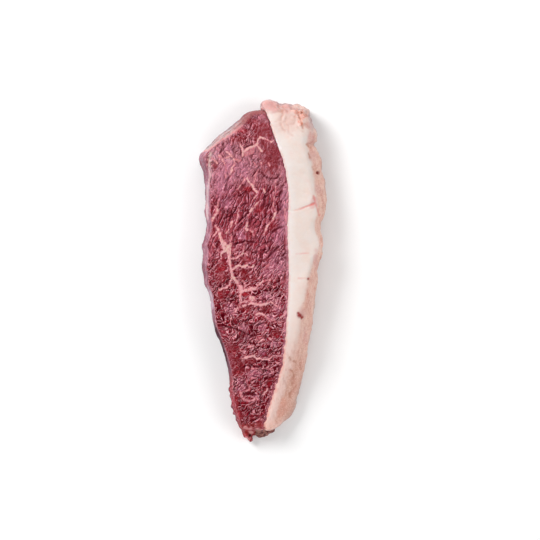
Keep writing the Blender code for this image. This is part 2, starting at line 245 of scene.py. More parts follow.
# Soft patches of deeper, smoother red: (x, y, half width, half length).
BLOODY = [
    (5.0, 63.1, 7.5, 11.5), (1.5, 71.5, 4.0, 4.5), (0.9, 78.4, 6.2, 9.0), (-14.6, 73.8, 3.6, 2.6),
    (-10.7, 78.8, 4.0, 2.4), (-5.9, 83.9, 3.4, 2.4), (-3.1, 88.7, 2.6, 1.8), (-7.8, 45.8, 3.6, 3.6),
    (-1.7, 34.7, 3.6, 2.6), (5.4, 24.4, 3.0, 3.0), (-7.3, 20.4, 2.2, 2.6), (-22.9, 1.8, 4.6, 5.0),
    (-22.4, -3.6, 4.4, 3.4), (-9.3, 6.5, 4.8, 2.4), (-10.2, -0.7, 4.8, 2.6), (-9.3, -3.7, 3.0, 2.0),
    (-22.7, -13.7, 3.2, 4.6), (-16.1, -7.6, 2.0, 1.6), (-9.1, -13.1, 2.8, 1.8), (-8.8, -21.0, 4.6, 1.8),
    (2.4, -21.3, 3.6, 2.6), (-0.1, -26.2, 2.2, 1.6), (6.9, -35.0, 4.0, 3.0), (-16.7, -45.3, 4.0, 5.5),
    (-13.7, -51.3, 5.5, 4.0), (-13.8, -56.3, 4.0, 3.4), (-7.4, -50.9, 5.0, 1.8), (-7.3, -69.2, 3.6, 1.2),
    (-14.8, -75.3, 1.8, 6.5), (-12.7, -81.3, 2.4, 4.0), (-1.0, -85.8, 2.4, 2.4), (-27.8, 22.8, 1.8, 2.4),
    (-8.8, -91.8, 2.6, 2.4), (12.7, 14.6, 1.0, 6.0), (12.8, -3.1, 1.0, 4.0), (-26.4, 59.2, 1.8, 3.0),
    (-4.4, -4.0, 2.0, 1.5), (10.7, -53.8, 1.4, 3.0), (4.5, -61.8, 2.6, 2.6),
]
# Dark, cobbled meat near the wide end.
WINE = [(-9.4, 74.0, 8.4, 6.8), (-5.0, 81.0, 4.6, 4.0)]
# Patches of painted sheen, where the wet face catches a lilac bloom of light.
LILAC = [
    (-26.0, 65.0, 4.0, 4.0), (-21.5, 50.8, 7.0, 12.0), (-19.0, 68.9, 2.6, 3.0), (-11.7, 55.8, 6.0, 6.0),
    (-18.6, 59.6, 4.0, 5.0), (8.8, 19.0, 4.4, 6.4), (7.4, 3.8, 5.2, 9.0), (2.6, -1.5, 4.0, 3.4),
    (11.4, 33.2, 2.2, 12.0), (3.0, -14.3, 5.0, 3.4), (-17.2, -21.2, 4.0, 4.6), (-0.5, -31.0, 3.0, 3.0),
    (4.4, -26.0, 2.6, 1.8), (8.1, -20.1, 3.2, 4.0), (-10.3, -31.5, 3.0, 2.4), (-11.8, -64.3, 3.6, 4.6),
    (-4.5, -57.2, 5.0, 3.6), (3.4, -57.2, 3.0, 2.0), (6.4, -40.3, 3.4, 2.6), (-0.5, -46.1, 3.0, 2.0),
    (-8.4, -37.4, 2.4, 1.6), (-19.5, 38.1, 5.0, 4.0), (-3.3, -70.8, 3.0, 2.0), (-11.7, 19.9, 3.0, 3.0),
]
# Where the cut face runs smooth into the left side: (x, y, half width, half length).
SMOOTH = [
    (-30.2, 9.0, 2.8, 10.0), (-29.2, -6.0, 2.2, 6.0), (-22.6, -34.0, 2.4, 4.0), (-19.8, -41.0, 2.6, 6.0),
    (-18.0, -50.0, 1.8, 5.0),
]
# Where the fat in the meat dries to beige.
BEIGE = [(-16.7, -3.9, 1.9, 1.7), (-5.4, -15.2, 1.8, 1.3), (-6.6, -92.0, 1.3, 0.9), (-20.2, 12.2, 1.4, 2.6)]
# Where the face is pale beside the left corner, and under the forked vein.
PALE = [(-27.2, 64.2, 3.4, 5.4), (-28.6, 55.0, 1.8, 5.0), (-17.4, 62.6, 2.4, 2.4), (-9.2, 66.6, 2.0, 1.2)]
# On the left side: where a pale painted sheen lies on its skin, and where it falls back into shade.
CHALKY = [(-30.5, -18.0, 4.0, 9.0)]
SHADED = [(-33.6, 57.0, 4.0, 8.0), (-33.4, -1.0, 2.6, 7.0)]
# The hole under the ragged tag, painted near black for its shade, as (radius, x, y).
HOLE = (0.9, -7.0, -93.8)
# Small spots where the red is fresh and bright.
FRESH = [
    (-9.1, -13.2, 2.2, 1.5), (-2.9, 88.8, 1.5, 1.0), (-15.2, -74.0, 1.2, 3.0), (-1.8, 33.9, 1.8, 1.2),
    (-8.4, 46.4, 2.2, 1.4), (-22.0, 1.3, 2.4, 1.4), (-7.8, 6.7, 2.2, 1.2), (-13.1, 43.6, 1.2, 0.9),
    (-13.8, -56.3, 1.2, 0.9), (-10.0, -90.6, 2.0, 1.4), (-9.7, -93.7, 1.6, 1.4), (-16.2, -69.3, 1.0, 2.0),
    (-13.3, -81.3, 1.2, 2.6), (-23.5, -12.5, 1.4, 2.4), (7.9, -36.0, 1.6, 1.4), (-11.1, 78.5, 2.4, 1.2),
    (-17.2, 74.3, 1.6, 0.9), (-15.7, -45.7, 1.8, 1.6),
]
# The silvery membrane is on the slanted side at the wide end, and its edge is a pale line on the cut face.
SILVERSKIN_EDGE = [(-30.2, 67.2), (-23.5, 72.5), (-17.2, 76.2), (-12.3, 80.3), (-7.8, 84.8), (-4.5, 88.0)]
# A bit of gristle on the left corner, and the pale rim that runs on from it.
GRISTLE = [(-29.0, 66.0), (-29.6, 62.7), (-29.6, 59.2)]
PALE_RIM = [(-30.0, 59.7), (-29.2, 53.5), (-30.6, 47.9), (-31.5, 42.6), (-31.2, 36.4), (-31.3, 29.6)]

# Lumps that the blade left ragged at the narrow end: (x, y, z, half sizes).
TAG = [
    (-8.3, -93.4, 4.4, 2.8, 2.4, 3.8), (-6.9, -96.3, 3.2, 1.6, 1.7, 2.6),
    (-10.1, -94.0, 3.4, 1.1, 1.4, 2.6), (-10.6, -88.0, 13.0, 1.8, 1.6, 2.2),
    (-5.6, -89.4, 10.5, 2.0, 1.4, 2.0),
]
FLAP = [(-0.6, -92.8, 3.6, 3.8, 2.7, 3.0), (4.4, -91.3, 3.0, 2.8, 1.7, 2.4)]
BEADS = [
    (-18.1, -63.5, 9.0, 0.9, 0.8, 1.0), (-17.8, -67.0, 10.0, 1.1, 1.5, 2.6),
    (-17.4, -71.0, 9.5, 1.0, 1.4, 2.4), (-16.8, -76.8, 10.0, 1.1, 1.0, 1.6),
    (-16.0, -80.8, 9.0, 1.2, 1.3, 2.2), (-14.7, -84.4, 8.5, 1.1, 1.2, 2.0),
    (-32.0, 33.6, 12.0, 0.8, 1.5, 1.6),
]

# Where the ends are cut back, as (a point of the cut, the way that stays), and the lumps that stand past it.
MUSCLE_TRIMS = [((0.0, -94.2, 4.0), (0.08, 1.0, -0.1)), ((4.2, -92.6, 4.0), (-0.62, 0.78, -0.1))]
FAT_TRIMS = [
    ((-2.2, 93.2, 9.0), (1.0, -0.62, -0.1)), ((12.0, 94.6, 9.0), (-0.1, -1.0, -0.25)),
    ((26.2, 91.4, 9.0), (-1.0, -0.7, -0.2)),
]
FAT_LUMPS = [
    (3.4, 93.6, 13.0, 4.6, 4.0, 6.5), (7.4, 92.6, 13.0, 3.2, 3.6, 6.0), (13.6, 91.8, 14.0, 3.4, 3.2, 6.0),
    (1.4, 94.0, 9.0, 3.0, 3.0, 6.0), (19.6, 93.2, 13.0, 2.6, 1.6, 3.0), (23.0, 91.6, 13.0, 2.6, 2.2, 4.0),
    (25.6, 90.2, 12.0, 1.6, 2.2, 4.0), (30.4, 73.9, 11.0, 0.9, 0.6, 1.4), (29.6, 77.5, 11.0, 1.3, 3.0, 4.0),
]

# Folds and nicks in the fat, as (width, depth, stain, the points that it runs through).
FOLDS = [
    (0.9, 0.7, 0.65, (9.0, 93.6), (9.9, 91.1), (11.4, 89.5), (11.8, 87.5), (10.4, 85.9)),
    (0.9, 0.6, 0.6, (11.2, 93.0), (12.6, 91.1), (14.2, 89.5)),
    (0.9, 0.5, 0.55, (6.9, 92.6), (7.8, 91.5), (8.9, 89.9), (10.8, 89.0)),
    (0.8, 0.3, 0.3, (0.4, 88.8), (5.0, 88.4), (9.3, 89.3)),
    (0.7, 0.4, 0.45, (10.4, 85.9), (10.2, 82.7), (11.4, 79.9), (12.6, 78.3)),
    (0.6, 0.35, 0.4, (14.6, 81.5), (14.7, 78.7), (15.3, 76.5), (17.3, 75.5)),
    (0.6, 0.35, 0.4, (13.4, 86.3), (13.0, 83.7), (13.8, 81.9)),
    (0.7, 0.4, 0.45, (22.4, 82.6), (24.4, 80.6), (27.6, 79.2)),
    (0.6, 0.3, 0.35, (17.8, 86.4), (18.4, 84.2), (17.2, 82.2)),
    (0.6, 0.3, 0.35, (19.6, 80.6), (21.4, 78.6), (23.8, 77.4)),
    (1.2, 0.8, 0.8, (19.7, 89.3), (20.9, 86.9), (21.6, 83.5), (22.8, 80.1)),
    (1.0, 0.6, 0.6, (16.6, 91.7), (18.7, 90.7), (20.5, 89.1)),
    (0.9, 0.6, 0.6, (21.7, 89.8), (23.7, 88.5), (26.2, 87.7)),
    (0.9, 0.5, 0.5, (23.6, 82.6), (25.8, 81.0), (28.1, 79.8)),
    (0.8, 0.3, 0.3, (15.8, 84.7), (17.3, 84.3)),
    (1.3, 0.5, 0.9, (25.0, 71.0), (26.2, 70.0), (27.2, 69.4)),
    (1.2, 0.5, 0.95, (25.9, 66.0), (26.9, 63.4)),
    (0.9, 0.4, 0.5, (27.7, 58.2), (28.6, 56.7)),
    (0.9, 0.5, 0.0, (15.9, 33.6), (18.7, 33.9)),
    (0.9, 0.5, 0.75, (15.8, -55.4), (17.5, -57.6), (17.3, -60.6), (16.5, -64.4)),
    (1.3, 0.5, 0.95, (15.3, -69.0), (15.6, -71.4)),
    (0.9, 0.4, 0.8, (18.9, -65.2), (16.5, -68.1), (15.5, -69.7)),
    (0.9, 0.4, 0.75, (15.2, -48.3), (16.0, -49.9)),
    (1.0, 0.4, 0.9, (17.6, -50.6), (18.8, -51.2)),
    (0.8, 0.4, 0.45, (12.5, -61.9), (14.1, -65.5), (13.1, -69.5)),
    (0.9, 0.4, 0.4, (22.2, -43.7), (20.4, -49.6), (21.1, -55.8)),
]
# The red crease in the fat, which turns up and down where it meets the outer side, in the same way.
CREASES = [
    (0.7, 0.4, (17.7, 33.8), (21.1, 34.6)),
    (0.8, 0.75, (21.1, 34.6), (24.6, 36.1)),
    (1.2, 1.0, (24.6, 36.1), (29.0, 37.7)),
    (1.0, 0.7, (28.7, 42.0), (29.9, 37.5), (32.1, 31.4)),
]
# A painted highlight: a white glint on the fat's edge beside the seam.
SLIVER = [(6.7, 75.4), (8.3, 71.8), (10.1, 68.5)]
# Where the cut face bends over to the outer side near the narrow end, as (y, x).
FAT_BEND = [
    (-84.4, 6.5), (-79.4, 8.1), (-74.4, 9.9), (-69.4, 11.7), (-61.4, 14.1), (-57.4, 15.2), (-49.4, 17.2),
]
# Two faint red lines across the fat, the stab and the spots of blood, as (radius, x, y).
FAINT_LINES = [[(19.2, 9.6), (26.0, 10.1)], [(20.1, -4.0), (26.0, -4.0)]]
STAB = (1.2, 31.2, 55.3)
BLOOD_SPOTS = [(1.6, 20.7, -24.8), (1.2, 22.0, -25.9), (0.8, 25.7, -4.4), (1.0, 20.1, -23.6)]
# Places on the fat, as (x, y, half width, half length): the raw orange corner, the knobbly part of its outer
# side near the tip, the notch in its outline, and where it is rosy.
RAW_CORNER = [
    (18.7, 90.1, 3.0, 1.8), (21.7, 87.8, 3.8, 3.0), (24.7, 87.3, 2.0, 2.6), (21.4, 83.7, 1.6, 3.0),
]
KNOBBLY = [(17.0, -56.0, 2.8, 8.0)]
NOTCH = [(30.0, 71.8, 4.0, 1.3)]
ROSY = [
    (3.5, 92.3, 7.0, 3.6), (6.7, 91.8, 2.4, 2.4), (13.6, 91.4, 3.0, 2.6), (26.0, 81.7, 3.0, 3.0),
    (28.9, 38.9, 2.6, 3.6), (27.6, 36.2, 2.6, 1.5), (11.9, -74.6, 2.6, 4.6), (10.1, -80.3, 2.0, 3.0),
    (27.2, 74.7, 2.4, 5.0), (28.6, 64.9, 3.0, 4.0), (22.2, -23.3, 2.6, 3.2), (31.1, 46.1, 2.4, 4.0),
    (23.6, -37.8, 2.4, 6.0), (30.0, 5.8, 1.6, 6.0),
]

# ---- Bench tools -------------------------------------------------------------


def pick(piece):
    """Makes this the one selected and active object."""
    for other in bpy.context.selected_objects:
        other.select_set(False)
    piece.select_set(True)
    bpy.context.view_layer.objects.active = piece


@contextmanager
def edited(piece):
    """Opens the piece in edit mode, and closes it again afterwards."""
    pick(piece)
    bpy.ops.object.mode_set(mode="EDIT")
    yield
    bpy.ops.object.mode_set(mode="OBJECT")


def worked(piece, kind, **settings):
    """Runs a modifier on the piece and applies it."""
    modifier = piece.modifiers.new(kind, kind)
    for name, value in settings.items():
        setattr(modifier, name, value)
    pick(piece)
    bpy.ops.object.modifier_apply(modifier=modifier.name)


def blank(node, name):
    """A new piece cut to the shape of a node of the frame, its loose triangles joined up."""
    piece = bpy.data.objects.new(name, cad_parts[node].data.copy())
    bpy.context.collection.objects.link(piece)
    piece.data.materials.clear()
    with edited(piece):
        bpy.ops.mesh.select_all(action="SELECT")
        bpy.ops.mesh.remove_doubles(threshold=WELD * MM)
    return piece


def slice_off(piece, place, facing):
    """Cuts away what lies behind a plane, as with one stroke of a knife, and closes the cut."""
    with edited(piece):
        bpy.ops.mesh.select_all(action="SELECT")
        bpy.ops.mesh.bisect(plane_co=Vector(place) * MM, plane_no=facing, use_fill=True, clear_inner=True)


def add_lumps(piece, lumps):
    """Presses rounded lumps into the piece."""
    for x, y, z, *sizes in lumps:
        bpy.ops.mesh.primitive_ico_sphere_add(
            subdivisions=3, radius=MM, location=Vector((x, y, z)) * MM, scale=sizes
        )
        lump = bpy.context.active_object
        bpy.ops.object.transform_apply(location=False, rotation=False, scale=True)
        pick(lump)
        piece.select_set(True)
        bpy.context.view_layer.objects.active = piece
        bpy.ops.object.join()


def rough_out(node, name, trims, lumps, spacing, smoothing):
    """A blank with its ends cut back, its lumps on, and one closed skin of even faces smoothed all over."""
    piece = blank(node, name)
    for place, facing in trims:
        slice_off(piece, place, facing)
    add_lumps(piece, lumps)
    worked(piece, "REMESH", mode="VOXEL", voxel_size=spacing * MM, use_smooth_shade=True)
    worked(piece, "SMOOTH", factor=0.5, iterations=smoothing)
    return piece


def refine(piece, wanted):
    """Splits the faces that wanted picks by their centre and normal, each into four."""
    mesh = piece.data
    for item in (*mesh.vertices, *mesh.edges):
        item.select = False
    for face in mesh.polygons:
        face.select = wanted(face.center / MM, face.normal)
    with edited(piece):
        bpy.ops.mesh.select_mode(type="FACE")
        bpy.ops.mesh.subdivide(number_cuts=1, smoothness=0.0)


def points_of(piece):
    """The piece's points in millimetres and their normals."""
    vertices = piece.data.vertices
    points, normals = np.empty(len(vertices) * 3), np.empty(len(vertices) * 3)
    vertices.foreach_get("co", points)
    vertices.foreach_get("normal", normals)
    return points.reshape(-1, 3) / MM, normals.reshape(-1, 3)


def move_points(piece, points):
    """Moves the piece's points, and keeps those of its underside off the floor."""
    points[:, 2] = np.maximum(points[:, 2], LOWEST)
    piece.data.vertices.foreach_set("co", (points * MM).ravel())
    piece.data.update()


def keep_masks(piece, **masks):
    """Stores numbers for each point, which the piece's material reads by name."""
    for name, values in masks.items():
        attribute = piece.data.attributes.new(name, "FLOAT", "POINT")
        attribute.data.foreach_set("value", values.astype(np.float32))


def keep_grain(piece, vectors):
    """Stores the place within the grain at each point, which bundles and the material read."""
    attribute = piece.data.attributes.new("grain", "FLOAT_VECTOR", "POINT")
    attribute.data.foreach_set("vector", vectors.astype(np.float32).ravel())


def spread(piece, values, rounds):
    """Lets values bleed into their neighbours along the skin."""
    ends = np.empty(len(piece.data.edges) * 2, np.int32)
    piece.data.edges.foreach_get("vertices", ends)
    here, there = ends.reshape(-1, 2).T
    meeting = np.bincount(ends)
    for _ in range(rounds):
        total = np.bincount(here, values[there], len(values)) + np.bincount(there, values[here], len(values))
        values = 0.5 * values + 0.5 * total / meeting
    return values


def ease(values, low, high):
    """0 up to low, 1 from high, smooth between. With low above high it falls instead."""
    t = np.clip((values - low) / (high - low), 0, 1)
    return t * t * (3 - 2 * t)


def drift(points, size, seed):
    """Smooth noise of about -1 to 1, in lumps of about this size."""
    return np.array([noise.noise(p) for p in (points / size + seed).tolist()]) * 1.4


def distance_to_route(points, route):
    """Each point's distance, seen from above, to a line through the route's stops."""
    best = np.full(len(points), np.inf)
    flat = points[:, :2]
    for start, end in zip(route, route[1:]):
        start, end = np.array(start), np.array(end)
        step = end - start
        t = np.clip((flat - start) @ step / (step @ step), 0, 1)
        best = np.minimum(best, np.linalg.norm(flat - start - t[:, None] * step, axis=1))
    return best


def strongest(points, lines, wobble, softness=0.4):
    """For lines of (width, strength, points): how strongly the nearest of them marks each place."""
    best = np.zeros(len(points))
    for width, strength, *route in lines:
        reach = distance_to_route(points, route) + 0.25 * wobble
        best = np.maximum(best, strength * ease(reach, width / 2 + softness, width / 2 - softness))
    return best


def patches(points, places, wobble):
    """1 in the middle of the nearest soft patch, 0 outside all of them."""
    best = np.zeros(len(points))
    for x, y, half_width, half_length in places:
        reach = np.hypot((points[:, 0] - x) / half_width, (points[:, 1] - y) / half_length)
        best = np.maximum(best, ease(reach + 0.35 * wobble, 1.15, 0.45))
    return best


def spots(points, places):
    """The same for small crisp spots, as (radius, x, y)."""
    best = np.zeros(len(points))
    for radius, x, y in places:
        reach = np.hypot(points[:, 0] - x, points[:, 1] - y) / radius
        best = np.maximum(best, ease(reach, 1.2, 0.4))
    return best


def drifts_on(points):
    """Three kinds of smooth noise that all edges wander by: middling, fine and slow."""
    return drift(points, 2.2, 5.0), drift(points, 1.0, 6.0), drift(points, 9.0, 8.0)


def distance_to_node(points, node):
    """How far each point is from a node of the frame."""
    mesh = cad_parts[node].data
    tree = BVHTree.FromPolygons([v.co for v in mesh.vertices], [p.vertices for p in mesh.polygons])
    return np.array([tree.find_nearest(p)[3] for p in (points * MM).tolist()]) / MM


# ---- Nodes, for the finishes and for the bundles of fibre --------------------


def paint(red, green, blue):
    """A colour as it looks, 0 to 255, as the shader's linear values."""
    shares = [c / 255 for c in (red, green, blue)]
    return (*(((s + 0.055) / 1.055) ** 2.4 if s > 0.04 else s / 12.92 for s in shares), 1.0)


class Tree:
    """A node tree and short ways to add to it. In place of a number it takes an output or a mask's name, and
    in place of a colour an output, or how red, green and blue it looks, 0 to 255."""

    def __init__(self, tree):
        self.tree = tree

    def feed(self, made, inputs):
        for name, value in inputs.items():
            if isinstance(value, bpy.types.NodeSocket):
                self.tree.links.new(value, made.inputs[name])
            else:
                made.inputs[name].default_value = value

    def node(self, kind, inputs=None, **settings):
        made = self.tree.nodes.new(kind)
        for name, value in settings.items():
            setattr(made, name, value)
        self.feed(made, inputs or {})
        return made

    def mask(self, name):
        """The mask of this name. Anything else is passed on."""
        if not isinstance(name, str):
            return name
        return self.node("ShaderNodeAttribute", attribute_name=name).outputs["Fac"]

    def calc(self, operation, a, b=0.0, clamp=False):
        inputs = {0: self.mask(a), 1: self.mask(b)}
        return self.node("ShaderNodeMath", inputs, operation=operation, use_clamp=clamp).outputs[0]

    def vector(self, operation, a, b):
        return self.node("ShaderNodeVectorMath", {0: a, 1: b}, operation=operation).outputs[0]

    def part_of(self, vector, axis):
        return self.node("ShaderNodeSeparateXYZ", {0: vector}).outputs[axis]

    def times(self, first, *others):
        """The product, which stays within 0 and 1."""
        for other in others:
            first = self.calc("MULTIPLY", first, other, clamp=True)
        return first

    def stretch(self, value, low, high, out_low=0.0, out_high=1.0):
        inputs = {"Value": self.mask(value), "From Min": low, "From Max": high}
        inputs |= {"To Min": out_low, "To Max": out_high}
        return self.node("ShaderNodeMapRange", inputs).outputs["Result"]

    def shift(self, name, without, within):
        """A number that goes from one value outside a mask to another inside it."""
        return self.stretch(name, 0.0, 1.0, without, within)

    def over(self, under, colour, amount):
        """Lays a colour over another where amount is 1."""
        under, colour = (paint(*c) if isinstance(c, tuple) else c for c in (under, colour))
        inputs = {0: self.mask(amount), 6: under, 7: colour}
        return self.node("ShaderNodeMix", inputs, data_type="RGBA").outputs[2]

    def coats(self, under, *coats):
        """Lays coats over a colour one by one, each as its colour and the factors of its amount."""
        for colour, *amounts in coats:
            under = self.over(under, colour, self.times(*amounts))
        return under

    def place(self):
        """Where the point lies on the slice, in millimetres."""
        inside = self.node("ShaderNodeTexCoord").outputs["Object"]
        scaled = self.node("ShaderNodeVectorMath", {0: inside, "Scale": 1 / MM}, operation="SCALE")
        return scaled.outputs[0]

    def cloud(self, where, size, detail=3.0, roughness=0.55, squeeze=None):
        """Noise from 0 to 1 in lumps of this size in millimetres, squeezed by a factor for each axis."""
        if squeeze:
            where = self.vector("MULTIPLY", where, squeeze)
        inputs = {"Vector": where, "Scale": 1 / size, "Detail": detail, "Roughness": roughness}
        return self.node("ShaderNodeTexNoise", inputs).outputs["Fac"]

    def bumps(self, *layers):
        """The normal over layers of (height, depth in millimetres, strength), from the coarsest up."""
        normal = {}
        for height, depth, strength in layers:
            inputs = {"Height": height, "Distance": depth * MM, "Strength": strength, **normal}
            normal = {"Normal": self.node("ShaderNodeBump", inputs).outputs["Normal"]}
        return normal["Normal"]

    def bundles(self, grain, size, seed):
        """For bundles of fibre of this size in millimetres: the distance to the bundle's wall in shares of
        its width, the way to its middle, and its random colour. The walls at a bundle's two ends count as
        further off, so they stay faint."""
        place = self.vector("ADD", self.vector("DIVIDE", grain, size), (seed, seed, seed))
        nearest, second = (
            self.node("ShaderNodeTexVoronoi", {"Vector": place, "Scale": 1.0}, feature=kind).outputs
            for kind in ("F1", "F2")
        )
        across = self.vector("SUBTRACT", second["Position"], nearest["Position"])
        length = self.node("ShaderNodeVectorMath", {0: across}, operation="LENGTH").outputs["Value"]
        squares = [self.calc("POWER", cell["Distance"], 2.0) for cell in (second, nearest)]
        gap = self.calc("DIVIDE", self.calc("SUBTRACT", *squares), self.calc("MULTIPLY", length, 2.0))
        endwise = self.calc("POWER", self.calc("DIVIDE", self.part_of(across, 0), length), 2.0)
        wall = self.calc("ADD", gap, self.calc("MULTIPLY", endwise, FAINT_ENDS))
        return wall, self.vector("SUBTRACT", nearest["Position"], place), nearest["Color"]


def bundles_on(piece, size, seed):
    """Works the bundles out at each point of a piece that has its grain: the distance to the wall, the height
    of the bundle's random slant, its random tone, and the step in millimetres to its middle."""
    group = bpy.data.node_groups.new("bundles", "GeometryNodeTree")
    for way in ("INPUT", "OUTPUT"):
        group.interface.new_socket("Piece", in_out=way, socket_type="NodeSocketGeometry")
    tree = Tree(group)
    kinds = {"wall": "FLOAT", "middle": "FLOAT_VECTOR", "colour": "FLOAT_VECTOR"}
    grain = tree.node("GeometryNodeInputNamedAttribute", {"Name": "grain"}, data_type="FLOAT_VECTOR")
    shape = tree.node("NodeGroupInput").outputs[0]
    for (name, kind), value in zip(kinds.items(), tree.bundles(grain.outputs[0], size, seed)):
        inputs = {"Geometry": shape, "Name": name, "Value": value}
        shape = tree.node("GeometryNodeStoreNamedAttribute", inputs, data_type=kind).outputs[0]
    tree.node("NodeGroupOutput", {0: shape})
    worked(piece, "NODES", node_group=group)
    bpy.data.node_groups.remove(group)

    found = []
    for name, kind in kinds.items():
        kept = piece.data.attributes[name]
        share, what = (1, "value") if kind == "FLOAT" else (3, "vector")
        values = np.empty(len(kept.data) * share, np.float32)
        kept.data.foreach_get(what, values)
        found.append(values if share == 1 else values.reshape(-1, 3))
        piece.data.attributes.remove(kept)
    wall, middle, colour = found
    return wall, -(middle * (2 * colour - 1)).sum(axis=1), colour[:, 0], middle * size


# ---- The lean muscle ---------------------------------------------------------


def fibre_turn(points):
    """How far the fibres turn away in the one hollow of the face."""
    away = np.hypot(points[:, 0] - HOLLOW[0], points[:, 1] - HOLLOW[1])
    return np.radians(HOLLOW_TURN) * ease(away / HOLLOW_RADIUS, 1.4, 0.2)


def fibre_lean(points):
    """The angle of the fibres elsewhere, seen from above: steep at the wide end and flatter below."""
    return np.radians(STEEPEST + (FLATTEST - STEEPEST) * ease(points[:, 1], 42, -22))


def fibre_grain(points, cobbled):
    """Coordinates along, across and through the fibres, which run wavier where the face is cobbled."""
    x, y = points[:, 0] - HOLLOW[0], points[:, 1] - HOLLOW[1]
    turn, lean_over = fibre_turn(points), fibre_lean(points)
    x, y = (
        x * np.cos(turn) - y * np.sin(turn) + HOLLOW[0],
        x * np.sin(turn) + y * np.cos(turn) + HOLLOW[1],
    )
    wavy = 0.4 + 0.45 * cobbled
    along = x * np.cos(lean_over) + y * np.sin(lean_over)
    across = y * np.cos(lean_over) - x * np.sin(lean_over)
    along = along + 1.4 * drift(points, 7.0, 3.1) + wavy * drift(points, 2.2, 4.1)
    across = across + 0.9 * drift(points, 7.0, 17.7) + wavy * drift(points, 2.2, 8.1)
    return np.stack([along, across, points[:, 2]], axis=1)


def meander(points):
    """How far the seam wanders sideways: the same for the muscle and for the fat, so they stay closed up."""
    level = points * (0, 1, 1)
    wander = 0.75 * drift(level, 2.6, 90.0) + 0.35 * drift(level, 1.2, 91.0)
    return wander * (0.35 + 0.65 * ease(points[:, 1], -32, -48))


